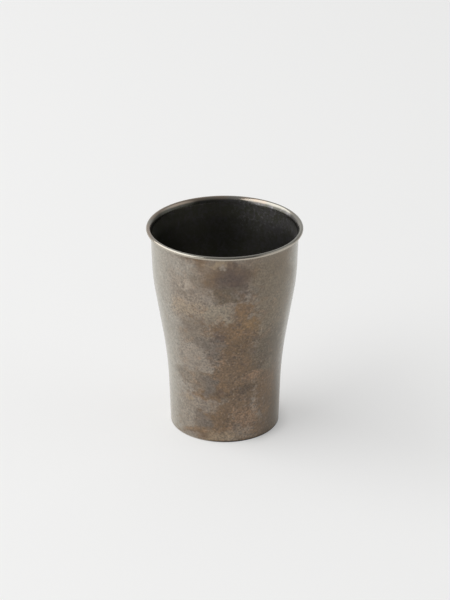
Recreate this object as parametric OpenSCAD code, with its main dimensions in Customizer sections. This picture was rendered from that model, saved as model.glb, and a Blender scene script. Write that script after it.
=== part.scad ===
// Double-walled stainless steel tumbler with a waisted wall and a rolled lip.
// The axis is Z, and the foot stands on the plane z = 0. Lengths are millimetres.

/* [Overall] */
// Height from the table to the top of the lip
height = 110; // [100:0.5:125]
// Outside diameter over the rolled lip
rim_d = 80; // [76:0.1:86]

/* [Outer wall] */
// Outside diameter of the wall at the foot
foot_d = 56.8; // [50:0.1:60]
// Outside diameter at the waist, where the lower wall turns outward
waist_d = 59.2; // [55:0.1:64]
// Height of the waist
waist_z = 37.7; // [30:0.1:46]
// Radius that blends the wall at the waist
waist_blend = 237; // [60:1:300]
// Outside diameter at the shoulder, where the wall turns upright again
shoulder_d = 73.9; // [68:0.1:78]
// Height of the shoulder
shoulder_z = 82.6; // [72:0.1:88]
// Radius that blends the wall at the shoulder
shoulder_blend = 116; // [30:1:150]

/* [Lip] */
// Radius of the inside flare under the lip
flare_r = 5.15; // [3:0.05:7]
// Lean of the flare where the roll takes over, in degrees from upright
flare_angle = 45; // [35:1:55]
// Outside radius of the rolled edge
roll_r = 1; // [0.8:0.05:1.4]
// Gap between the end of the roll and the outer wall
roll_clear = 0.2; // [0.1:0.05:0.5]
// Width of the seam that joins the two walls inside the roll
lip_seam_w = 0.45; // [0.2:0.05:0.6]
// Height over which the two walls touch under the flare
lap_h = 6; // [4:0.1:10]

/* [Sheet] */
// Thickness of the outer wall
outer_t = 0.5; // [0.3:0.05:0.7]
// Thickness of the inner wall and its bottom
inner_t = 0.4; // [0.3:0.05:0.6]
// Thickness of the middle bottom
middle_t = 0.5; // [0.4:0.05:0.8]
// Thickness of the base cover
cover_t = 0.5; // [0.3:0.05:0.8]
// Thickness of the foil round the inner wall
foil_t = 0.1; // [0.05:0.01:0.2]

/* [Inner wall] */
// Vacuum gap between the two walls
vacuum_gap = 2.2; // [1.2:0.05:4]
// Vacuum gap between the getter's clip and the bottom of the drinking space
under_gap = 3.8; // [2:0.1:8]
// Radius of the corner round the drinking space's floor
floor_corner = 5; // [2:0.1:8]
// Radius that blends the inner wall where it meets the outer one
lap_blend = 45; // [10:1:80]
// Height of the seam between the inner wall and its bottom, above the floor
seam_rise = 8; // [6:0.1:16]
// Width of that seam
seam_w = 1.6; // [0.8:0.1:2.4]
// Height of that seam's bead
seam_h = 0.25; // [0.15:0.05:0.5]
// Gap between the inner wall and the foil round it
foil_clear = 0.15; // [0.05:0.05:0.4]
// Gap from the seam up to the foil
foil_gap = 1.5; // [0.5:0.1:6]
// Drop from the bottom of the lap down to the top of the foil
foil_drop = 12; // [8:0.1:40]

/* [Base] */
// Height of the ground foot seam under the two sheets
foot_h = 0.7; // [0.5:0.05:1.2]
// Radius of the foot's outer edge
foot_round = 0.6; // [0.2:0.05:0.7]
// Radius of the foot's inner edge
foot_inner_round = 0.3; // [0.1:0.05:0.4]
// Width of the seam inside the middle bottom's skirt
foot_inside_w = 0.3; // [0.1:0.05:0.6]
// Height of the base cover's lower face
cover_z = 1.8; // [1:0.1:2.4]
// Bend radius of the base cover, on its outer face
cover_bend = 1.2; // [0.9:0.1:2]
// Gap from the cover's skirt up to the bend of the middle bottom
cover_gap = 0.6; // [0.2:0.1:1.2]
// Height of the middle bottom's upper face
middle_z = 7; // [6.2:0.1:10]
// Bend radius of the middle bottom, on its outer face
middle_bend = 1.6; // [1:0.1:2.4]

/* [Vacuum seal and getter] */
// Diameter of the evacuation hole
port_d = 2; // [1:0.1:3]
// Diameter across the flat top of the dimple that holds the sealing glass
dimple_top_d = 7; // [6:0.1:9]
// Width of the dimple's sloping side
dimple_slope = 3; // [2:0.1:4]
// Rise of the dimple
dimple_h = 1.8; // [1:0.1:2.4]
// Bend radius round the dimple
dimple_bend = 1.2; // [0.9:0.1:1.6]
// Gap from the sealing glass to the edge of the dimple's flat top
glass_margin = 1; // [0.8:0.1:1.5]
// Height of the sealing glass under the dimple
glass_h = 0.9; // [0.4:0.1:1.6]
// Diameter of the getter pellet
getter_d = 8; // [5:0.1:9]
// Height of the getter pellet
getter_h = 2; // [1.2:0.1:3]
// Gap between the dimple and the getter
getter_gap = 4.5; // [1:0.1:6]
// Width of the clip over the getter
clip_w = 3; // [2:0.1:4.5]
// Thickness of the clip
clip_t = 0.3; // [0.2:0.05:0.5]
// Length of each of the clip's feet
clip_foot = 3; // [1.5:0.1:5]
// Gap between the clip's legs and the getter
clip_clear = 0.1; // [0.05:0.05:0.3]

/* [Hidden] */
$fn = 128;

// Colours of the sheet and of the small pieces
patina = [0.42, 0.38, 0.33];
dark_patina = [0.16, 0.16, 0.15];
bright_steel = [0.66, 0.65, 0.63];
seam_steel = [0.50, 0.48, 0.45];
copper = [0.72, 0.44, 0.30];
glass_green = [0.35, 0.45, 0.38];
getter_grey = [0.35, 0.35, 0.36];

// Largest turn between two neighbouring points of an arc, in degrees, and the fewest steps in an arc
arc_step = 4;
arc_steps = 10;

// A path is a list of [r, z, heading] points. A heading is in degrees from upright, leaning outward.
level = 90;
function along(h) = [sin(h), cos(h)];
function left_of(h) = [-cos(h), sin(h)];
function heading(a, b) = atan2(b[0] - a[0], b[1] - a[1]);
function turn(from, to) = (to - from + 900) % 360 - 180;
function on_line(p, h, z) = [p[0] + (z - p[1]) * tan(h), z];

// Crossing of the line through p at heading hp with the line through q at heading hq
function crossing(p, hp, q, hq) =
    let (d = q - p, a = along(hp), b = along(hq))
    p + a * (d[0] * b[1] - d[1] * b[0]) / (a[0] * b[1] - a[1] * b[0]);

// Length of straight that a corner of that turn gives up to its radius
function tangent(radius, bend) = radius * tan(abs(bend) / 2);

// Arc about a centre between two headings, with a positive radius where the path turns right
function arc(centre, radius, from, to) =
    let (n = max(arc_steps, ceil(abs(to - from) / arc_step)))
    [for (i = [0:n]) let (h = from + (to - from) * i / n, p = centre + radius * left_of(h)) [p[0], p[1], h]];

// Arc that rounds the corner b between a and c
function fillet(a, b, c, radius) =
    let (
        from = heading(a, b),
        bend = turn(from, heading(b, c)),
        start = b - along(from) * tangent(radius, bend),
        signed = sign(bend) * radius
    )
    arc(start - signed * left_of(from), signed, from, from + bend);

// Point of a rising path at a height, and the stretches of the path below and above it
function at_height(path, z) =
    let (i = [for (k = [0:len(path) - 2]) if (path[k][1] <= z && z < path[k + 1][1]) k][0])
    path[i] + (path[i + 1] - path[i]) * (z - path[i][1]) / (path[i + 1][1] - path[i][1]);
function below(path, z) = concat([for (p = path) if (p[1] < z) p], [at_height(path, z)]);
function above(path, z) = concat([at_height(path, z)], [for (p = path) if (p[1] > z) p]);

// A path moved to its left by d, as plain points
function shifted(path, d) = [for (p = path) [p[0], p[1]] + d * left_of(p[2])];
function backwards(list) = [for (i = [len(list) - 1:-1:0]) list[i]];
function end_point(p, h) = [p[0], p[1], h];

// Sheet that lies between two distances to the left of a path, turned about the axis
module turned_sheet(path, from, to) {
    rotate_extrude() polygon(concat(shifted(path, from), backwards(shifted(path, to))));
}

// Centre of the roll, centre of the flare that runs into it, and the roll's turn up to the outer wall
lap_t = outer_t + inner_t;
outer_flare_r = flare_r - lap_t;
roll_to_flare = flare_r - roll_r;
roll_centre = [rim_d / 2 - roll_r, height - roll_r];
flare_centre = roll_centre - roll_to_flare * left_of(flare_angle);
roll_end_r = outer_flare_r - roll_clear;
roll_turn = 360 - acos((roll_end_r ^ 2 - roll_r ^ 2 - roll_to_flare ^ 2) / (2 * roll_r * roll_to_flare));

// Corners of the outer wall's outside, and the heading of each straight stretch
foot_point = [foot_d / 2, 0];
waist_point = [waist_d / 2, waist_z];
shoulder_point = [shoulder_d / 2, shoulder_z];
lower_lean = heading(foot_point, waist_point);
flank_lean = heading(waist_point, shoulder_point);
flare_reach = norm(flare_centre - shoulder_point);
upper_lean = heading(shoulder_point, flare_centre) - asin(outer_flare_r / flare_reach);
mouth_point = flare_centre + outer_flare_r * left_of(upper_lean);
wall_start = on_line(foot_point, lower_lean, foot_h);

// Corners of the inner wall's drinking side
inner_offset = lap_t + vacuum_gap;
floor_z = middle_z + max(dimple_h, getter_h + clip_t) + under_gap + inner_t;
lower_in = foot_point + inner_offset * left_of(lower_lean);
flank_in = waist_point + inner_offset * left_of(flank_lean);
upper_in = mouth_point + inner_offset * left_of(upper_lean);
floor_in = on_line(lower_in, lower_lean, floor_z);
waist_in = crossing(lower_in, lower_lean, flank_in, flank_lean);
shoulder_in = crossing(flank_in, flank_lean, upper_in, upper_lean);
lap_in = flare_centre + flare_r * left_of(upper_lean);
lap_low = lap_in - along(upper_lean) * lap_h;

// Blends of the walls, each limited by the straight that it takes up
waist_bend = flank_lean - lower_lean;
waist_room = norm(waist_in - floor_in) - tangent(floor_corner, level - lower_lean);
waist_r = min(waist_blend, waist_room / tangent(1, waist_bend) - inner_offset);
shoulder_room = min(norm(mouth_point - shoulder_point), norm(shoulder_point - waist_point) / 2);
shoulder_r = min(shoulder_blend, shoulder_room / tangent(1, upper_lean - flank_lean));
throat_lean = heading(shoulder_in, lap_low);
lap_bend = throat_lean - upper_lean;
throat_room = norm(lap_low - shoulder_in) / (tangent(1, throat_lean - flank_lean) + tangent(1, lap_bend));
lap_r = min(lap_blend, throat_room, lap_h / tangent(1, lap_bend));

// Outside of the outer wall, from the foot seam up into the roll
outer_path = concat(
    [end_point(wall_start, lower_lean)],
    fillet(foot_point, waist_point, shoulder_point, waist_r),
    fillet(waist_point, shoulder_point, mouth_point, shoulder_r),
    arc(flare_centre, outer_flare_r, upper_lean, flare_angle)
);

// Drinking side of the inner wall and its bottom, from the floor's corner up to the roll
inner_path = concat(
    fillet([0, floor_z], floor_in, waist_in, floor_corner),
    fillet(floor_in, waist_in, shoulder_in, waist_r + inner_offset),
    fillet(waist_in, shoulder_in, lap_low, lap_r),
    fillet(shoulder_in, lap_low, lap_in, lap_r),
    arc(flare_centre, flare_r, upper_lean, flare_angle)
);
roll_path = arc(roll_centre, roll_r, flare_angle, flare_angle + roll_turn);
seam_z = floor_z + seam_rise;
seam_path = above(below(inner_path, seam_z + seam_w / 2), seam_z - seam_w / 2);
foil_path = above(below(inner_path, lap_low[1] - foil_drop), seam_z + seam_w / 2 + foil_gap);

// Upper and outer face of the middle bottom: dimple, disc, and skirt down to the foot seam
skirt_end = wall_start + outer_t * left_of(lower_lean);
skirt_corner = on_line(skirt_end, lower_lean, middle_z);
dimple_z = middle_z + dimple_h;
dimple_top = [dimple_top_d / 2, dimple_z];
dimple_base = [dimple_top_d / 2 + dimple_slope, middle_z];
middle_path = concat(
    [end_point([0, dimple_z], level)],
    fillet([0, dimple_z], dimple_top, dimple_base, dimple_bend),
    fillet(dimple_top, dimple_base, skirt_corner, dimple_bend),
    fillet(dimple_base, skirt_corner, skirt_end, middle_bend),
    [end_point(skirt_end, lower_lean + 180)]
);

// Lower and outer face of the base cover, which presses into the middle bottom's skirt
cover_side = skirt_end + middle_t * left_of(lower_lean);
cover_corner = on_line(cover_side, lower_lean, cover_z);
cover_top = on_line(cover_side, lower_lean, middle_z - middle_bend - cover_gap);
cover_path = concat(
    [end_point([0, cover_z], level)],
    fillet([0, cover_z], cover_corner, cover_top, cover_bend),
    [end_point(cover_top, lower_lean)]
);

// Ground seam under the outer wall and the middle bottom's skirt
foot_w = outer_t + middle_t + foot_inside_w;
foot_inner = [foot_point[0] - foot_w, 0];
foot_inner_top = wall_start + foot_w * left_of(lower_lean);
foot_outline = concat(
    [wall_start],
    shifted(fillet(wall_start, foot_point, foot_inner, min(foot_round, foot_h)), 0),
    shifted(fillet(foot_point, foot_inner, foot_inner_top, min(foot_inner_round, foot_h)), 0),
    [foot_inner_top]
);

// Waisted outer wall, whose upper edge flares out inside the rolled lip
module outer_body() {
    color(patina) turned_sheet(outer_path, 0, outer_t);
}

// Inner wall, which laps the outer one at the mouth and rolls over its edge
module inner_body() {
    lip_path = concat(above(inner_path, seam_z), roll_path);
    color(dark_patina) turned_sheet(lip_path, -inner_t, 0);
}

// Seam inside the roll, on the edge of the outer wall's flare
module lip_seam() {
    hollow_r = (roll_r - inner_t) * cos(arc_step / 2);
    hollow = arc(roll_centre, hollow_r, flare_angle, flare_angle + 180);
    color(seam_steel)
        rotate_extrude()
            intersection() {
                polygon(shifted(hollow, 0));
                translate(roll_centre)
                    rotate(-flare_angle)
                        translate([-roll_r, -roll_r])
                            square([2 * roll_r, roll_r + lip_seam_w]);
            }
}

// Dished bottom of the drinking space
module inner_bottom() {
    floor_path = concat([end_point([0, floor_z], level)], below(inner_path, seam_z));
    color(dark_patina) turned_sheet(floor_path, -inner_t, 0);
}

// Bead round the seam between the inner wall and its bottom, on the vacuum side
module inner_seam() {
    color(seam_steel) turned_sheet(seam_path, -inner_t - seam_h, -inner_t);
}

// Foil round the inner wall, which turns radiant heat back
module foil_wrap() {
    color(copper) turned_sheet(foil_path, -inner_t - foil_clear - foil_t, -inner_t - foil_clear);
}

// Pan that closes the vacuum space, with the evacuation hole in its dimple
module middle_bottom() {
    color(bright_steel)
        difference() {
            turned_sheet(middle_path, -middle_t, 0);
            translate([0, 0, middle_z]) cylinder(d = port_d, h = 2 * dimple_h);
        }
}

// Ground foot seam, which is the foot that touches the table
module foot_seam() {
    color(seam_steel) rotate_extrude() polygon(foot_outline);
}

// Cover that hides the sealed hole, recessed inside the foot
module base_cover() {
    color(patina) turned_sheet(cover_path, 0, cover_t);
}

// Glass that closes the evacuation hole from below, with a plug that fills the hole
module sealing_glass() {
    glass_top = dimple_z - middle_t;
    glass_d = dimple_top_d - 2 * glass_margin;
    color(glass_green) {
        translate([0, 0, glass_top - glass_h]) cylinder(d = glass_d, h = glass_h);
        translate([0, 0, glass_top - glass_h / 2]) cylinder(d = port_d, h = glass_h / 2 + middle_t);
    }
}

// Pellet that takes up stray gas in the vacuum space
getter_x = dimple_base[0] + getter_gap + getter_d / 2;
module getter() {
    color(getter_grey) translate([getter_x, 0, middle_z]) cylinder(d = getter_d, h = getter_h);
}

// Strap over the getter, with a foot on each side that is spot-welded to the middle bottom
module getter_clip() {
    leg = getter_d / 2 + clip_clear;
    reach = leg + clip_t + clip_foot;
    top = getter_h + clip_t;
    side = [
        [leg, getter_h], [leg, 0], [reach, 0],
        [reach, clip_t], [leg + clip_t, clip_t], [leg + clip_t, top],
    ];
    color(bright_steel)
        translate([getter_x - clip_w / 2, 0, middle_z])
            rotate([90, 0, 90])
                linear_extrude(clip_w) polygon(concat(side, [for (p = backwards(side)) [-p[0], p[1]]]));
}

outer_body();
inner_body();
lip_seam();
inner_bottom();
inner_seam();
foil_wrap();
middle_bottom();
foot_seam();
base_cover();
sealing_glass();
getter();
getter_clip();
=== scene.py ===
from math import acos, asin, atan2, ceil, copysign, cos, pi, radians, sin, tan

import bmesh
import bpy
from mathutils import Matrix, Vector


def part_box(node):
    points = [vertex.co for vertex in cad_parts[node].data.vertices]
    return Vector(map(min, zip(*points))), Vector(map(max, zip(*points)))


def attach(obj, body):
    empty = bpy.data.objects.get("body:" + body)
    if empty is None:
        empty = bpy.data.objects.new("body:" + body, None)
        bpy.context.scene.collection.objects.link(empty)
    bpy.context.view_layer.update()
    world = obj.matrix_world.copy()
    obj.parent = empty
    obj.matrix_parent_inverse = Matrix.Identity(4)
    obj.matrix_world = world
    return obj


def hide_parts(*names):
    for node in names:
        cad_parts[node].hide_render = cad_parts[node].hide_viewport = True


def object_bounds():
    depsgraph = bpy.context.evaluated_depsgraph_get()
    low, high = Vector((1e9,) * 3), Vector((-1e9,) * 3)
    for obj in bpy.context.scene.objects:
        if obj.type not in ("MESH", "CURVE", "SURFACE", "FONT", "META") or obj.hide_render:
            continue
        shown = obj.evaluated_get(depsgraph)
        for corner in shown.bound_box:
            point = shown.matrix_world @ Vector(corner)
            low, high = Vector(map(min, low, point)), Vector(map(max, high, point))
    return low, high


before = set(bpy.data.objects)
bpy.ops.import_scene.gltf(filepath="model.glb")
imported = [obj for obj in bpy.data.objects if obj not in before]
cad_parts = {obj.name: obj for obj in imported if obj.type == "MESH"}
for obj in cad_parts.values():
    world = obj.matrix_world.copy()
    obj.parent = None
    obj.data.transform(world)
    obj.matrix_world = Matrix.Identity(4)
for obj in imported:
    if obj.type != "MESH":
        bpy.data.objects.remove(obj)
cad_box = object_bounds()


# Outer wall: a waisted skin of steel sheet, drawn and spun to shape, its top edge flared under the lip.
# Heat and years of handling have given it a satin grey-brown patina, with stains that overlap in patches.
# Part of the darker tone low on the right and along the foot is painted shade, and part of the light right
# edge is painted sheen.
# It is welded to the inner wall inside the rolled lip, and stands on the weld ground flat as its foot.

# Lengths are metres. In an outline, x is a radius and y a height. A lean is an angle outward from upright.
height = cad_box[1].z
rim_radius = min(cad_box[1].x, cad_box[1].y)
foot_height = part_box("outer_body")[0].z
foot_point = Vector((0.0284, 0))
waist_point = Vector((0.0296, 0.0377))
shoulder_point = Vector((0.03695, 0.0826))
waist_blend = 0.237
shoulder_blend = 0.116
outer_sheet = 0.0005
inner_sheet = 0.0004
flare_radius = 0.00515
flare_lean = radians(45)
roll_radius = 0.0010


def along(lean):
    return Vector((sin(lean), cos(lean)))


def left_of(lean):
    return Vector((-cos(lean), sin(lean)))


def lean_between(a, b):
    return atan2(b.x - a.x, b.y - a.y)


def arc(centre, radius, start, end, steps=16):
    """Points round a centre, each with its lean. A positive radius turns right."""
    leans = [start + (end - start) * i / steps for i in range(steps + 1)]
    return [(centre + radius * left_of(lean), lean) for lean in leans]


def rounded(a, b, c, radius):
    """Arc that rounds the corner b on the way from a to c."""
    start = lean_between(a, b)
    turn = (lean_between(b, c) - start + pi) % (2 * pi) - pi
    signed = copysign(radius, turn)
    centre = b - along(start) * radius * tan(abs(turn) / 2) - signed * left_of(start)
    return arc(centre, signed, start, start + turn)


def sheet(path, near, far, ring_gap=0.002):
    """Closed outline of a sheet that lies between two distances to the left of a path."""
    full = []
    for (p, lean), (q, next_lean) in zip(path, path[1:]):
        steps = max(1, ceil((q - p).length / ring_gap))
        full += [(p.lerp(q, i / steps), lean + (next_lean - lean) * i / steps) for i in range(steps)]
    full.append(path[-1])
    near_side = [p + near * left_of(lean) for p, lean in full]
    far_side = [p + far * left_of(lean) for p, lean in reversed(full)]
    return near_side + far_side


def turned(name, outline, turn_steps=192, sharp_corner=radians(35), axis_slack=1e-6):
    """Spins a closed outline about the axis into one smooth closed mesh."""
    made = bmesh.new()
    turns = [2 * pi * i / turn_steps for i in range(turn_steps)]
    rings = []
    for p in outline:
        on_axis = p.x < axis_slack
        points = [(0, 0, p.y)] if on_axis else [(p.x * sin(t), -p.x * cos(t), p.y) for t in turns]
        ring = [made.verts.new(point) for point in points]
        rings.append(ring * turn_steps if on_axis else ring)
    for low, high in zip(rings, rings[1:] + rings[:1]):
        for i in range(turn_steps):
            corners = dict.fromkeys((low[i - 1], low[i], high[i], high[i - 1]))
            if len(corners) > 2:
                made.faces.new(corners)
    bmesh.ops.recalc_face_normals(made, faces=made.faces)
    mesh = bpy.data.meshes.new(name)
    made.to_mesh(mesh)
    made.free()
    mesh.shade_smooth()
    mesh.set_sharp_from_angle(angle=sharp_corner)
    piece = bpy.data.objects.new(name, mesh)
    bpy.context.scene.collection.objects.link(piece)
    return piece


class Shade:
    """One socket of a material. Python arithmetic on it adds Math nodes, and node() adds any other node."""

    def __init__(self, tree, socket=None):
        self.tree = tree
        self.socket = socket

    def node(self, kind, settings=None, sockets=None, out=0):
        made = self.tree.nodes.new("ShaderNode" + kind)
        for name, value in (settings or {}).items():
            setattr(made, name, value)
        for name, value in (sockets or {}).items():
            if isinstance(value, Shade):
                self.tree.links.new(value.socket, made.inputs[name])
            else:
                made.inputs[name].default_value = value
        return Shade(self.tree, made.outputs[out] if made.outputs else None)

    def maths(self, operation, *values):
        return self.node("Math", {"operation": operation}, dict(enumerate(values)))

    def vector(self, operation, *values, out=0):
        return self.node("VectorMath", {"operation": operation}, dict(enumerate((self, *values))), out)

    def __add__(self, other):
        return self.maths("ADD", self, other)

    __radd__ = __add__

    def __sub__(self, other):
        return self.maths("SUBTRACT", self, other)

    def __rsub__(self, other):
        return self.maths("SUBTRACT", other, self)

    def __mul__(self, other):
        return self.maths("MULTIPLY", self, other)

    __rmul__ = __mul__

    def __truediv__(self, other):
        return self.maths("DIVIDE", self, other)

    def __rtruediv__(self, other):
        return self.maths("DIVIDE", other, self)

    def eased(self, none, full):
        """0 at none and 1 at full, with a smooth rise between them."""
        sockets = {"Value": self, "From Min": none, "From Max": full}
        return self.node("MapRange", {"interpolation_type": "SMOOTHSTEP"}, sockets)

    def blend(self, first, second, label=""):
        """Colour that goes from first to second as this share goes from 0 to 1."""
        # A Mix node's colours are its sockets 6 and 7, and its mixed colour is its output 2.
        settings = {"data_type": "RGBA", "label": label}
        return self.node("Mix", settings, {0: self, 6: first, 7: second}, out=2)

    def times(self, share):
        """This colour, made brighter or darker by a share."""
        return self.node("VectorMath", {"operation": "SCALE"}, {0: self, "Scale": share})

    def axes(self):
        split = self.node("SeparateXYZ", {}, {0: self}).socket.node
        return [Shade(self.tree, socket) for socket in split.outputs]


def new_finish(name):
    """An empty material, with the place on the surface, in metres, to build it from."""
    material = bpy.data.materials.new(name)
    material.use_nodes = True
    material.node_tree.nodes.clear()
    return material, Shade(material.node_tree).node("TexCoord", out="Object")


def clouds(place, size, detail=3, out="Fac"):
    """Cloudy pattern about 0.5 whose clouds are that size across."""
    return place.node("TexNoise", {}, {"Vector": place, "Scale": 1 / size, "Detail": detail}, out)


def close_finish(place, relief, relief_height=0.00002, **sockets):
    """Ends a material with its surface. A socket's name has underscores for its spaces."""
    named = {name.replace("_", " "): value for name, value in sockets.items()}
    named["Normal"] = place.node("Bump", {}, {"Height": relief, "Distance": relief_height})
    place.node("OutputMaterial", {}, {"Surface": place.node("BsdfPrincipled", {}, named)})


outer_flare = flare_radius - outer_sheet - inner_sheet
roll_centre = Vector((rim_radius - roll_radius, height - roll_radius))
flare_centre = roll_centre - (flare_radius - roll_radius) * left_of(flare_lean)
lower_lean = lean_between(foot_point, waist_point)
flank_lean = lean_between(waist_point, shoulder_point)
flare_reach = (flare_centre - shoulder_point).length
upper_lean = lean_between(shoulder_point, flare_centre) - asin(outer_flare / flare_reach)
mouth_point = flare_centre + outer_flare * left_of(upper_lean)
wall_start = foot_point + along(lower_lean) * foot_height / cos(lower_lean)
outer_path = [
    (wall_start, lower_lean),
    *rounded(foot_point, waist_point, shoulder_point, waist_blend),
    *rounded(waist_point, shoulder_point, mouth_point, shoulder_blend),
    *arc(flare_centre, outer_flare, upper_lean, flare_lean),
]
outer_wall = turned("outer_wall", sheet(outer_path, 0, outer_sheet))

# Tones of the patina, from worn grey steel to the darkest stain
worn_grey = (0.318, 0.285, 0.240, 1)
light_grey = (0.27, 0.222, 0.176, 1)
sage_grey = (0.28, 0.23, 0.168, 1)
olive_grey = (0.178, 0.134, 0.083, 1)
dark_olive = (0.113, 0.078, 0.044, 1)
mid_grey = (0.20, 0.155, 0.112, 1)
slate = (0.15, 0.115, 0.087, 1)
sand = (0.32, 0.24, 0.155, 1)
chalk = (0.38, 0.32, 0.255, 1)
pink_brown = (0.273, 0.162, 0.088, 1)
rust = (0.205, 0.117, 0.050, 1)
ochre = (0.255, 0.145, 0.048, 1)
brown = (0.159, 0.090, 0.039, 1)
deep_brown = (0.137, 0.077, 0.031, 1)
umber = (0.105, 0.060, 0.027, 1)
plum = (0.084, 0.049, 0.034, 1)

# Each stain has a tone, its angle from the front in degrees, positive to the right, and its height.
# Then come its reach to each side in degrees and up and down, its strength, and the softness of its edge.
stains = {
    "worn left side": (worn_grey, -66, 0.058, 37, 0.085, 0.90, 0.60),
    # The light right edge is partly wear and partly painted sheen, where the edge catches the bright room
    "worn right edge and painted sheen": (light_grey, 78, 0.066, 18, 0.070, 0.80, 0.60),
    "worn right shoulder": (worn_grey, 78, 0.082, 16, 0.040, 0.80, 0.60),
    "olive right side": (olive_grey, 44, 0.074, 26, 0.050, 0.85, 0.60),
    "brown belt": (brown, 8, 0.042, 24, 0.042, 0.90, 0.45),
    "light shoulder": (light_grey, -26, 0.085, 24, 0.019, 0.80, 0.60),
    "grey under the lip": (worn_grey, -36, 0.1015, 16, 0.005, 0.70, 0.60),
    "slate under the lip": (mid_grey, -23, 0.0955, 6, 0.0045, 0.75, 0.60),
    "brown under the lip": (brown, -9, 0.0972, 10, 0.0085, 0.85, 0.80),
    "plum under the lip": (plum, 7, 0.0962, 14, 0.0092, 1.00, 0.80),
    "sand along the lip": (sand, -5, 0.1052, 12, 0.0013, 0.85, 0.50),
    "chalk at the lip": (chalk, -2, 0.1030, 3, 0.0012, 0.60, 0.60),
    "dark notch at the lip": (plum, 7, 0.1050, 4, 0.0010, 0.80, 0.60),
    "chalk streak": (chalk, -33, 0.0922, 3, 0.0042, 0.85, 0.70),
    "shade under the streak": (mid_grey, -33, 0.0866, 4, 0.0022, 0.60, 0.60),
    "shade below the plum": (dark_olive, 1, 0.0880, 12, 0.0048, 0.95, 0.70),
    "sage patch": (sage_grey, -6, 0.0765, 11, 0.0058, 0.90, 0.45),
    "sand patch": (sand, -33, 0.0780, 14, 0.0050, 0.55, 0.70),
    "rust patch": (rust, 16, 0.0785, 8, 0.0065, 0.90, 0.45),
    "ochre spot": (ochre, 22, 0.0690, 8, 0.0042, 0.65, 0.70),
    "rust below the ochre": (rust, 12, 0.0640, 12, 0.0050, 0.70, 0.55),
    "deep brown of the belt": (deep_brown, 14, 0.0560, 14, 0.0056, 0.95, 0.50),
    "grey band on the left": (mid_grey, -27, 0.0652, 14, 0.0068, 0.85, 0.50),
    "plum at the middle": (plum, -6, 0.0630, 6, 0.0034, 0.75, 0.60),
    "slate under the plum": (slate, -14, 0.0560, 12, 0.0070, 1.00, 0.50),
    "dark olive on the right": (dark_olive, 45, 0.0520, 20, 0.0130, 0.95, 0.65),
    # These two are partly stain and partly painted shade, darker low on the right where the wall mirrors
    # the floor's shadow
    "dark foot and painted shade on the right": (umber, 62, 0.0120, 28, 0.0325, 0.95, 0.60),
    "brown and painted shade on the right": (brown, 46, 0.0290, 16, 0.0090, 0.95, 0.60),
    "light patch": (light_grey, -31, 0.0490, 19, 0.0080, 0.95, 0.40),
    "light corner of the patch": (light_grey, -16, 0.0432, 7, 0.0026, 0.95, 0.25),
    "dark edge of the patch": (slate, -8, 0.0515, 5, 0.0075, 0.95, 0.50),
    "brown under the patch": (mid_grey, -34, 0.0355, 23, 0.0050, 0.85, 0.30),
    "slate under the corner": (slate, -15, 0.0330, 8, 0.0056, 0.95, 0.35),
    "dark fleck on the right": (umber, 36, 0.0445, 5, 0.0013, 0.85, 0.60),
    "grey by the fleck": (olive_grey, 44, 0.0420, 8, 0.0030, 0.70, 0.60),
    "pink on the right": (pink_brown, 30, 0.0378, 10, 0.0026, 0.80, 0.60),
    "dark streak": (umber, 20, 0.0312, 13, 0.0024, 1.00, 0.45),
    "umber under the belt": (umber, 0, 0.0276, 11, 0.0024, 0.95, 0.55),
    "light band": (light_grey, -30, 0.0216, 22, 0.0048, 0.90, 0.55),
    "sand fleck in the band": (sand, -37, 0.0238, 4, 0.0016, 0.80, 0.60),
    "grey at the front": (mid_grey, 2, 0.0240, 6, 0.0018, 0.75, 0.60),
    "grey low on the left": (mid_grey, -43, 0.0120, 12, 0.0110, 0.50, 0.70),
    "slate low on the left": (slate, -23, 0.0118, 10, 0.0050, 0.95, 0.50),
    "pink low on the right": (pink_brown, 22, 0.0142, 15, 0.0072, 0.70, 0.60),
    "brown low at the front": (brown, -2, 0.0140, 8, 0.0060, 0.70, 0.60),
    "umber fleck at the front": (umber, 4, 0.0148, 4, 0.0020, 0.70, 0.60),
    "grey fleck low on the right": (mid_grey, 15, 0.0080, 3, 0.0028, 0.60, 0.60),
    "rust low on the right": (rust, 44, 0.0160, 10, 0.0042, 0.75, 0.60),
    "brown above the foot": (brown, 37, 0.0070, 10, 0.0045, 0.75, 0.60),
    "rust low on the left": (rust, -36, 0.0042, 14, 0.0020, 0.70, 0.60),
    "sand above the foot": (sand, -5, 0.0030, 18, 0.0026, 0.70, 0.60),
    "specks above the foot": (umber, -30, 0.0028, 12, 0.0007, 0.60, 0.90),
    "light patch on the left flank": (light_grey, -114, 0.0560, 14, 0.0130, 0.80, 0.60),
    "brown left flank": (brown, -99, 0.0800, 14, 0.0120, 0.60, 0.80),
    "slate left flank": (mid_grey, -97, 0.0360, 13, 0.0150, 0.60, 0.80),
    "brown right flank": (brown, 92, 0.0420, 18, 0.0180, 0.75, 0.55),
    "sage right flank": (sage_grey, 95, 0.0880, 18, 0.0100, 0.70, 0.50),
}
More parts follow.
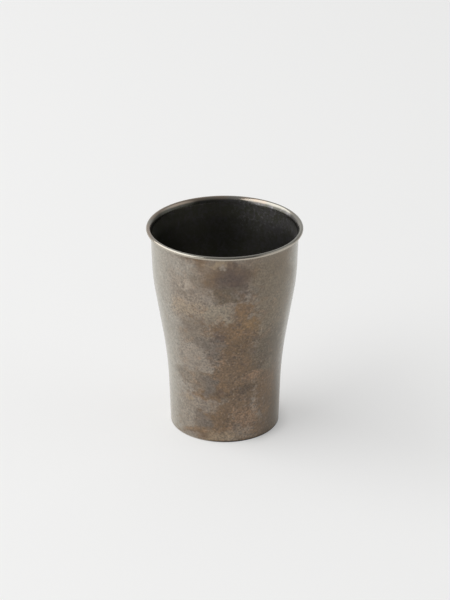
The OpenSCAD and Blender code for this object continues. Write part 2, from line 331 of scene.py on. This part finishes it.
# The same for the back, with angles from the middle of the back, and positive towards the left flank
back_stains = {
    "slate far flank": (slate, -62, 0.0600, 18, 0.0150, 0.75, 0.60),
    "umber far flank": (umber, 58, 0.0700, 13, 0.0090, 0.50, 0.60),
    "olive beside the belt": (olive_grey, -40, 0.0720, 22, 0.0450, 0.80, 0.60),
    "brown belt at the back": (brown, -6, 0.0480, 24, 0.0380, 0.90, 0.45),
    "light shoulder at the back": (light_grey, 26, 0.0840, 22, 0.0170, 0.80, 0.55),
    "plum under the back of the lip": (plum, -16, 0.0962, 12, 0.0085, 0.95, 0.60),
    "brown beside the plum": (brown, 4, 0.0974, 9, 0.0080, 0.90, 0.60),
    "sand along the back of the lip": (sand, 6, 0.1050, 13, 0.0013, 0.80, 0.50),
    "sage patch at the back": (sage_grey, 8, 0.0778, 12, 0.0062, 0.90, 0.45),
    "rust patch at the back": (rust, -14, 0.0742, 9, 0.0065, 0.90, 0.45),
    "ochre spot at the back": (ochre, -23, 0.0655, 7, 0.0040, 0.65, 0.70),
    "slate across the back": (slate, 12, 0.0610, 13, 0.0065, 0.90, 0.50),
    "deep brown at the back": (deep_brown, -11, 0.0522, 13, 0.0060, 0.90, 0.50),
    "light patch at the back": (light_grey, 27, 0.0462, 17, 0.0085, 0.95, 0.35),
    "dark olive at the back": (dark_olive, -44, 0.0460, 17, 0.0120, 0.85, 0.60),
    "pink at the back": (pink_brown, -28, 0.0392, 10, 0.0028, 0.80, 0.60),
    "grey under the light patch": (mid_grey, 26, 0.0338, 17, 0.0050, 0.85, 0.30),
    "umber streak at the back": (umber, -15, 0.0316, 12, 0.0022, 0.90, 0.45),
    "light band at the back": (light_grey, 18, 0.0226, 22, 0.0046, 0.85, 0.55),
    "slate low at the back": (slate, 20, 0.0122, 10, 0.0052, 0.80, 0.50),
    "pink low at the back": (pink_brown, -20, 0.0150, 15, 0.0070, 0.70, 0.60),
    "rust low at the back": (rust, 42, 0.0140, 11, 0.0045, 0.75, 0.60),
    "sand above the foot at the back": (sand, 4, 0.0030, 18, 0.0026, 0.70, 0.60),
}

# Sizes of the patina's clouds, from its grain to the broad changes of its ground
grain_size = 0.0010
speckle_size = 0.0012
edge_size = 0.0027
blush_size = 0.0044
mottle_size = 0.0048
shadow_size = 0.0050
drift_size = 0.008
rough_size = 0.010
ground_size = 0.026
# The range of a cloudy pattern that gives separate spots, and the one that gives wide patches
spots = (0.52, 0.68)
patches = (0.40, 0.60)
# Spinning has drawn the pattern out round the wall, and a drift bends the stains, in degrees and in height
spun_stretch = 1.35
drift_turn = 22
drift_rise = 0.011
# Edges of the stains are ragged. The calm under the lip takes away raggedness, and a share of the spots.
raggedness = 2.4
calm_edges = 1.5
calm_spots = 0.45
# Spots thin out on the two flanks, by the square of the angle's sine, to the share that is left there
flank_squares = (0.75, 0.18)
flank_spots = 0.4
# How rough the ground is at least, and what its patches and the crust add
least_rough = 0.4
patch_rough = 0.6
crust_rough = 0.4
# How much lighter and darker the mottle and the grain make the ground, and what roughness adds to the grain
mottle_depth = 0.4
grain_depth = 0.8
rough_grain_depth = 1.5
# Heights and angles between which each of these comes in, from none to full
calm_levels = (0.084, 0.094)
crust_angles = (-22, -6)
crust_levels = (0.078, 0.060)
plain_levels = (0.028, 0.018)
foot_grime_and_shade_levels = (0.0016, 0.0006)
foot_grime_and_shade_angles = (-40, 0)
coat_shade_angles = (40, 62)
coat_shade_levels = (0.042, 0.012)
# How much of each kind of spot shows
shadow_share = 0.32
crust_shadow_share = 0.14
blush_share = 0.32
plain_blush_loss = 0.14
pepper_share = 0.12
fleck_share = 0.15
foot_grime_and_shade_share = 0.85

patina, place = new_finish("patina_steel")
x, y, level = place.axes()
angle = place.maths("ARCTAN2", x, y * -1) * (180 / pi)
back_angle = place.maths("ARCTAN2", x * -1, y) * (180 / pi)
drift = clouds(place, drift_size, detail=4, out="Color").vector("SUBTRACT", (0.5, 0.5, 0.5))
drift_x, drift_y, _ = drift.axes()
front_place, back_place = [
    place.node("CombineXYZ", {}, {0: turn + drift_turn * drift_x, 1: level + drift_rise * drift_y})
    for turn in (angle, back_angle)
]
spun = place.vector("MULTIPLY", (1, 1, spun_stretch))
grain = clouds(place, grain_size)
mottle = clouds(place, mottle_size)
# Each kind of spot takes the noise from another place, so that no two patterns are the same
pepper = clouds(place.vector("ADD", (0.2, 0.1, 0.3)), speckle_size, detail=2).eased(*spots)
flecks = clouds(place.vector("ADD", (0.5, 0.4, 0.1)), speckle_size, detail=2).eased(*spots)
shadows = clouds(spun.vector("ADD", (0.3, 0.7, 0.2)), shadow_size, detail=4).eased(*spots)
blush = clouds(spun.vector("ADD", (0.7, 0.2, 0.6)), blush_size, detail=4).eased(*spots)
calm = level.eased(*calm_levels)
crusted = angle.eased(*crust_angles) * level.eased(*crust_levels)
side_on = x * x / (x * x + y * y)
front_and_back = (1 - calm_spots * calm) * (flank_spots + (1 - flank_spots) * side_on.eased(*flank_squares))
rough_patches = clouds(place, rough_size, detail=2).eased(*patches)
rough = front_and_back * (least_rough + patch_rough * rough_patches + crust_rough * crusted)
ragged = (raggedness - calm_edges * calm) * (clouds(spun, edge_size, detail=5) - 0.5)

ground = clouds(place, ground_size, detail=4).eased(*patches).blend(brown, light_grey)
for side, side_stains in ((front_place, stains), (back_place, back_stains)):
    for name, (tone, stain_angle, stain_level, reach, rise, strength, softness) in side_stains.items():
        # The length of the squared distances makes a stain an oblong with round corners
        apart = side.vector("SUBTRACT", (stain_angle, stain_level, 0)).vector("DIVIDE", (reach, rise, 1))
        square = apart.vector("MULTIPLY", apart).vector("LENGTH", out="Value")
        far = place.maths("SQRT", square) + softness * ragged
        share = strength * far.eased(1 + softness / 2, 1 - softness)
        ground = share.blend(ground, tone, name)
shadow_depth = shadow_share + crust_shadow_share * crusted
ground = (shadow_depth * shadows * front_and_back).blend(ground, plum)
blush_depth = blush_share - plain_blush_loss * level.eased(*plain_levels)
ground = (blush_depth * blush * front_and_back).blend(ground, pink_brown)
ground = (pepper_share * pepper).blend(ground, plum)
ground = (fleck_share * flecks * rough).blend(ground, chalk)
# A dark line at the foot on the front and right, partly grime and partly painted contact shade
foot_grime_and_shade = level.eased(*foot_grime_and_shade_levels) * angle.eased(*foot_grime_and_shade_angles)
ground = (foot_grime_and_shade_share * foot_grime_and_shade).blend(ground, umber)
grain_gain = (grain_depth + rough_grain_depth * rough) * (grain - 0.5)
ground = ground.times(1 + mottle_depth * (mottle - 0.5) + grain_gain)
# Less coat low on the right is painted shade: it dims the sheen where the wall mirrors the floor's shadow
coat_shade = angle.eased(*coat_shade_angles) * level.eased(*coat_shade_levels)
close_finish(
    place,
    relief=grain + 0.6 * mottle,
    Base_Color=ground,
    Metallic=0.6,
    Roughness=0.33 + 0.14 * mottle + 0.16 * grain,
    Coat_Weight=1 - 0.32 * coat_shade,
    Coat_Roughness=0.22,
    Coat_IOR=1.5,
    Specular_Tint=(0.94, 1, 0.88, 1),
)
outer_wall.data.materials.append(patina)
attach(outer_wall, "root")
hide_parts("outer_body")


# Inner wall and lip: the steel skin round the drinking space, flared and rolled over the outer wall's edge.
# The roll is polished by drinking and washing, while the inside is almost black with tea and oxide. Its
# lower outer edge is lighter, partly from wear and partly as a painted reflection of the pale floor.
# Its lower edge is butt-welded to the cup's floor.
vacuum_gap = 0.0022
floor_level = 0.0135
seam_level = 0.0215
lap_height = 0.006
lap_blend = 0.045
roll_clear = 0.0002
roll_steps = 48


def crossing(p, lean_p, q, lean_q):
    """Point where the line through p meets the line through q."""
    return p + along(lean_p) * ((q - p).cross(along(lean_q)) / along(lean_p).cross(along(lean_q)))


inner_offset = outer_sheet + inner_sheet + vacuum_gap
lower_in = foot_point + inner_offset * left_of(lower_lean)
flank_in = waist_point + inner_offset * left_of(flank_lean)
upper_in = mouth_point + inner_offset * left_of(upper_lean)
floor_corner_point = lower_in + along(lower_lean) * (floor_level - lower_in.y) / cos(lower_lean)
waist_in = crossing(lower_in, lower_lean, flank_in, flank_lean)
shoulder_in = crossing(flank_in, flank_lean, upper_in, upper_lean)
lap_top = flare_centre + flare_radius * left_of(upper_lean)
lap_low = lap_top - along(upper_lean) * lap_height
seam_point = floor_corner_point + along(lower_lean) * (seam_level - floor_level) / cos(lower_lean)
# The roll turns until its end comes near the outer wall's flare
roll_reach = flare_radius - roll_radius
roll_end = outer_flare - roll_clear
roll_cosine = (roll_end ** 2 - roll_radius ** 2 - roll_reach ** 2) / (2 * roll_radius * roll_reach)
roll_turn = 2 * pi - acos(roll_cosine)
inner_path = [
    (seam_point, lower_lean),
    *rounded(floor_corner_point, waist_in, shoulder_in, waist_blend + inner_offset),
    *rounded(waist_in, shoulder_in, lap_low, lap_blend),
    *rounded(shoulder_in, lap_low, lap_top, lap_blend),
    *arc(flare_centre, flare_radius, upper_lean, flare_lean),
    *arc(roll_centre, roll_radius, flare_lean, flare_lean + roll_turn, roll_steps)[1:],
]
inner_wall = turned("inner_wall", sheet(inner_path, -inner_sheet, 0))

black_oxide = (0.098, 0.097, 0.078, 1)
blue_oxide = (0.122, 0.117, 0.117, 1)
blue_specks = (0.27, 0.265, 0.275, 1)
polished_lip = (0.285, 0.272, 0.24, 1)
rubbed_and_mirroring_edge = (0.48, 0.435, 0.365, 1)
tarnished_lip = (0.33, 0.275, 0.225, 1)
oxide_size = 0.005
oxide_grain_size = 0.0014
speck_size = 0.0013
tarnish_size = 0.012
# The oxide is bluer to the right, and the lip's tarnish lies at the left and the back
bluer_right = 1.5
oxide_range = (0.42, 0.62)
tarnish_slope = 4
tarnish_range = (0.28, 0.48)
# Heights, radii and places across between which a finish comes in, from none to full
speck_side = (-0.004, 0.014)
speck_levels = (0.088, 0.099)
high_band_levels = (0.097, 0.103)
dull_ring_levels = (0.1063, 0.1076)
deep_levels = (0.090, 0.080)
smooth_levels = (0.1055, 0.1085)
polish_levels = (0.1083, 0.1093)
polish_radii = (0.0384, 0.0388)
rubbed_and_mirroring_levels = (0.1096, 0.1092)
rubbed_and_mirroring_radii = (0.0390, 0.0394)
# The polish ends on a wavy line, higher at the left and right, by the square of the place across
polish_wave = 0.0004
polish_side_squares = (0.0006, 0.0010)
# How much of the specks shows, and the inside's brightness, with what changes it
speck_share = 0.45
inside_level = 0.85
high_band_gain = 0.95
dull_ring_loss = 1.1
deep_gain = 0.35

inner_steel, place = new_finish("inner_steel")
x, y, level = place.axes()
mottle = clouds(place, oxide_size, detail=5)
grain = clouds(place, oxide_grain_size)
oxide = 0.5 * mottle + 0.5 * grain + bluer_right * x
inside = oxide.eased(*oxide_range).blend(black_oxide, blue_oxide)
specks = clouds(place.vector("ADD", (0.4, 0.3, 0.8)), speck_size).eased(*spots)
specks = specks * x.eased(*speck_side) * level.eased(*speck_levels)
inside = (speck_share * specks).blend(inside, blue_specks)
# The inside is lighter in a band high up and again low down, and darker in a ring just under the lip
high_band = high_band_gain * level.eased(*high_band_levels) - dull_ring_loss * level.eased(*dull_ring_levels)
inside = inside.times(inside_level + high_band + deep_gain * level.eased(*deep_levels))
untarnished = clouds(place, tarnish_size) + tarnish_slope * (x - y)
lip = untarnished.eased(*tarnish_range).blend(tarnished_lip, polished_lip)
radius = place.maths("SQRT", x * x + y * y)
# The roll's lower outer edge is lighter: partly wear, partly a painted reflection of the pale floor
rubbed_and_mirroring = radius.eased(*rubbed_and_mirroring_radii) * level.eased(*rubbed_and_mirroring_levels)
lip = rubbed_and_mirroring.blend(lip, rubbed_and_mirroring_edge)
sides = (x * x).eased(*polish_side_squares)
bare = (level + polish_wave * (mottle - 0.5 - sides)).eased(*polish_levels)
polish = bare.maths("MAXIMUM", bare, radius.eased(*polish_radii))
smooth = level.eased(*smooth_levels)
close_finish(
    place,
    relief=grain,
    relief_height=0.00001,
    Base_Color=polish.blend(inside, lip),
    Metallic=0.95 + 0.05 * polish,
    Roughness=0.40 - 0.23 * smooth + 0.05 * rubbed_and_mirroring + 0.12 * (grain - 0.5),
)
inner_wall.data.materials.append(inner_steel)
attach(inner_wall, "root")
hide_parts("inner_body")


# Cup floor: a dished disc of the same sheet, with a round corner that is easy to wipe clean.
# It is butt-welded to the inner wall, and wears the same dark oxide.
floor_corner = 0.005

floor_path = [
    (Vector((0, floor_level)), pi / 2),
    *rounded(Vector((0, floor_level)), floor_corner_point, waist_in, floor_corner),
    (seam_point, lower_lean),
]
cup_floor = turned("cup_floor", sheet(floor_path, -inner_sheet, 0))
cup_floor.data.materials.append(inner_steel)
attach(cup_floor, "root")
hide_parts("inner_bottom")


# Foot: the edge weld under the outer wall and the middle bottom, ground flat so that the tumbler is steady.
# Its edges are rounded by the grinder, and the table keeps its face a little brighter than the wall. Its
# left side is lighter as painted light from the pale floor, and its right side is dark with grime and
# painted contact shade.
foot_width = 0.0013
foot_round = 0.0006
foot_inner_round = 0.0003

foot_inner = foot_point - Vector((foot_width, 0))
foot_inner_top = wall_start + foot_width * left_of(lower_lean)
foot_path = [
    (wall_start, lower_lean + pi),
    *rounded(wall_start, foot_point, foot_inner, foot_round),
    *rounded(foot_point, foot_inner, foot_inner_top, foot_inner_round),
    (foot_inner_top, lower_lean),
]
foot_ring = turned("foot_ring", [p for p, lean in foot_path])

ground_steel_and_painted_light = (0.34, 0.30, 0.25, 1)
foot_grime_and_painted_shade = (0.014, 0.011, 0.008, 1)
scuff_size = 0.0016
grime_and_shade_wave = 0.0002
grime_and_shade_levels = (0.00004, 0.00012)
grime_and_shade_side = (-0.016, 0.004)

foot_steel, place = new_finish("foot_steel")
x, _, level = place.axes()
scuff = clouds(place, scuff_size, detail=4)
# Dark on the right with grime and painted contact shade, while the left keeps the lighter steel as painted
# floor light
grime_and_painted_shade = (level + grime_and_shade_wave * (scuff - 0.5)).eased(*grime_and_shade_levels) * x.eased(*grime_and_shade_side)
close_finish(
    place,
    relief=scuff,
    Base_Color=grime_and_painted_shade.blend(ground_steel_and_painted_light, foot_grime_and_painted_shade).times(0.6 + 0.8 * scuff),
    Metallic=0.7,
    Roughness=0.38 + 0.2 * scuff,
)
foot_ring.data.materials.append(foot_steel)
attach(foot_ring, "root")
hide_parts("foot_seam")


# Bottom cover: a shallow pan of steel sheet pressed up inside the foot, where it hides the sealed hole.
# It keeps the rings of the lathe that faced it, under a light brown stain.
cover_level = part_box("base_cover")[0].z
cover_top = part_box("base_cover")[1].z
cover_sheet = 0.0005
cover_bend = 0.0012
middle_sheet = 0.0005

cover_side = wall_start + (outer_sheet + middle_sheet) * left_of(lower_lean)
cover_corner = cover_side + along(lower_lean) * (cover_level - cover_side.y) / cos(lower_lean)
cover_edge = cover_side + along(lower_lean) * (cover_top - cover_side.y) / cos(lower_lean)
cover_path = [
    (Vector((0, cover_level)), pi / 2),
    *rounded(Vector((0, cover_level)), cover_corner, cover_edge, cover_bend),
    (cover_edge, lower_lean),
]
bottom_cover = turned("bottom_cover", sheet(cover_path, 0, cover_sheet))

cover_grey = (0.31, 0.27, 0.22, 1)
cover_brown = (0.215, 0.165, 0.115, 1)
lathe_gap = 0.0007
tea_size = 0.011
tea_range = (0.36, 0.68)

base_steel, place = new_finish("base_steel")
x, y, _ = place.axes()
radius = place.maths("SQRT", x * x + y * y)
lathe_rings = clouds(place.node("CombineXYZ", {}, {0: radius}), lathe_gap)
tea = clouds(place, tea_size, detail=5).eased(*tea_range)
close_finish(
    place,
    relief=lathe_rings,
    relief_height=0.00001,
    Base_Color=tea.blend(cover_grey, cover_brown).times(0.5 + lathe_rings),
    Metallic=0.9,
    Roughness=0.3 + 0.2 * tea,
)
bottom_cover.data.materials.append(base_steel)
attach(bottom_cover, "root")
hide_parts("base_cover")


# Welds inside the walls: the seam in the roll and the bead round the cup's floor, left as welded.
# Each keeps the straw and blue tints of the heat.
straw_tint = (0.50, 0.38, 0.22, 1)
blue_tint = (0.24, 0.27, 0.36, 1)
ripple_size = 0.0012
tint_size = 0.004


def dress(finish, *nodes):
    """Gives hidden solids of the frame their finish."""
    for node in nodes:
        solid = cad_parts[node].data
        solid.materials.clear()
        solid.materials.append(finish)


seam_steel, place = new_finish("seam_steel")
ripple = clouds(place, ripple_size)
close_finish(
    place,
    relief=ripple,
    Base_Color=clouds(place, tint_size).eased(*patches).blend(straw_tint, blue_tint),
    Metallic=1.0,
    Roughness=0.3 + 0.2 * ripple,
)
dress(seam_steel, "lip_seam", "inner_seam")


# Copper foil: a thin wrap round the inner wall, in the vacuum, that turns radiant heat back.
# It is cut from flat sheet and wound on by hand, which leaves it crinkled.
copper_bright = (0.83, 0.48, 0.32, 1)
copper_dull = (0.56, 0.28, 0.17, 1)
crinkle_size = 0.005
crinkle_range = (0.35, 0.65)

copper_foil, place = new_finish("copper_foil")
crinkle = clouds(place, crinkle_size, detail=5)
close_finish(
    place,
    relief=crinkle,
    relief_height=0.0002,
    Base_Color=crinkle.eased(*crinkle_range).blend(copper_dull, copper_bright),
    Metallic=1.0,
    Roughness=0.18 + 0.2 * crinkle,
)
dress(copper_foil, "foil_wrap")


# Middle bottom and getter clip: plain cold-rolled sheet, pressed to shape. The bottom is welded into the
# foot, and the clip is fixed on it. Neither is seen in use, so both keep their mill finish.
mill_light = (0.62, 0.61, 0.59, 1)
mill_dark = (0.48, 0.47, 0.455, 1)
rolling_size = 0.0008
rolling_stretch = 0.05

sheet_steel, place = new_finish("sheet_steel")
rolled = clouds(place.vector("MULTIPLY", (1, rolling_stretch, 1)), rolling_size)
close_finish(
    place,
    relief=rolled,
    relief_height=0.000005,
    Base_Color=rolled.blend(mill_dark, mill_light),
    Metallic=1.0,
    Roughness=0.28 + 0.16 * rolled,
)
dress(sheet_steel, "middle_bottom", "getter_clip")


# Sealing glass: a drop of solder glass, melted over the evacuation hole in the middle bottom.
# It closes the vacuum, and keeps a milky swirl from the melting.
glass_clear = (0.40, 0.52, 0.43, 1)
glass_milky = (0.26, 0.34, 0.28, 1)
swirl_size = 0.0012
swirl_range = (0.4, 0.65)

solder_glass, place = new_finish("solder_glass")
swirl = clouds(place, swirl_size, detail=4)
close_finish(
    place,
    relief=swirl,
    Base_Color=swirl.eased(*swirl_range).blend(glass_clear, glass_milky),
    Roughness=0.06 + 0.12 * swirl,
    Transmission_Weight=0.6,
    IOR=1.6,
)
dress(solder_glass, "sealing_glass")


# Getter: a pellet of pressed metal powder, which takes up stray gas in the vacuum.
# Its clip holds it on the middle bottom.
powder_light = (0.33, 0.33, 0.34, 1)
powder_dark = (0.17, 0.17, 0.18, 1)
powder_size = 0.0004
powder_range = (0.35, 0.65)

getter_alloy, place = new_finish("getter_alloy")
powder = clouds(place, powder_size, detail=4)
close_finish(
    place,
    relief=powder,
    relief_height=0.00004,
    Base_Color=powder.eased(*powder_range).blend(powder_dark, powder_light),
    Metallic=0.7,
    Roughness=0.75 + 0.2 * (powder - 0.5),
)
dress(getter_alloy, "getter")


# Studio: a pale paper floor, soft light from a broad window on the left, and a room that is brighter behind
# the tumbler than in front of it. The camera looks down along +Y, as the photograph does.
floor_reach = 4
paper_white = (0.885, 0.885, 0.88, 1)
paper_glow = 0.45
contact_depth = 0.40
contact_radii = (0.036, 0.027)
contact_side = (0.008, 0.020)
room_level = 0.46
room_behind = 0.3
room_left = 0.22
card_toward = (0.93, -0.10, 0.35)
card_edge = (0.80, 0.95)
card_level = 0.7
window_width = 3.8
window_height = 2.6
window_power = 77
window_bearing = radians(263)
window_rise = radians(35)
window_distance = 2.6
camera_side = 0.00015
camera_distance = 1.207
camera_rise = radians(26.053)
camera_pitch = radians(25.489)
camera_lens = 139.73

corners = [(-1, -1), (1, -1), (1, 1), (-1, 1)]
floor_mesh = bpy.data.meshes.new("studio_floor")
floor_mesh.from_pydata([(floor_reach * a, floor_reach * b, 0) for a, b in corners], [], [(0, 1, 2, 3)])
studio_floor = bpy.data.objects.new("studio_floor", floor_mesh)
bpy.context.scene.collection.objects.link(studio_floor)

# The paper glows a little where it is seen or mirrored. Close to the foot on the right the glow is held
# back, which paints the contact shadow there deeper.
paper, place = new_finish("studio_paper")
rays = place.node("LightPath").socket.node
shown_rays = ("Is Camera Ray", "Is Glossy Ray", "Is Transmission Ray")
seen, mirrored, through = [Shade(place.tree, rays.outputs[ray]) for ray in shown_rays]
shown = place.maths("MAXIMUM", seen, place.maths("MAXIMUM", mirrored, through))
x, y, _ = place.axes()
radius = place.maths("SQRT", x * x + y * y)
contact = radius.eased(*contact_radii) * x.eased(*contact_side)
glow_share = paper_glow * shown * (1 - contact_depth * contact)
lit = place.node("BsdfDiffuse", {}, {"Color": paper_white})
glow = place.node("Emission", {}, {"Color": paper_white})
floor_surface = place.node("MixShader", {}, {0: glow_share, 1: lit, 2: glow})
place.node("OutputMaterial", {}, {"Surface": floor_surface})
floor_mesh.materials.append(paper)

room = bpy.data.worlds.new("studio_room")
room.use_nodes = True
room.node_tree.nodes.clear()
toward = Shade(room.node_tree).node("TexCoord", out="Generated")
right, behind, _ = toward.axes()
card = toward.vector("DOT_PRODUCT", card_toward, out="Value").eased(*card_edge)
room_light = room_level + room_behind * behind - room_left * right + card_level * card
walls = toward.node("Background", {}, {"Color": (1, 1, 1, 1), "Strength": room_light})
walls.node("OutputWorld", {}, {"Surface": walls})
bpy.context.scene.world = room

window_light = bpy.data.lights.new("window", "AREA")
window_light.shape = "RECTANGLE"
window_light.size = window_width
window_light.size_y = window_height
window_light.energy = window_power
window = bpy.data.objects.new("window", window_light)
window_side = Vector((sin(window_bearing), cos(window_bearing), 0))
from_window = window_side * cos(window_rise) + Vector((0, 0, sin(window_rise)))
window.location = from_window * window_distance
window.rotation_euler = from_window.to_track_quat("Z", "Y").to_euler()
bpy.context.scene.collection.objects.link(window)

lens = bpy.data.cameras.new("camera")
lens.lens = camera_lens
camera = bpy.data.objects.new("camera", lens)
camera_up = height / 2 + camera_distance * sin(camera_rise)
camera.location = (camera_side, -camera_distance * cos(camera_rise), camera_up)
camera.rotation_euler = (pi / 2 - camera_pitch, 0, 0)
bpy.context.scene.collection.objects.link(camera)
bpy.context.scene.camera = camera
bpy.context.scene.view_settings.view_transform = "Standard"
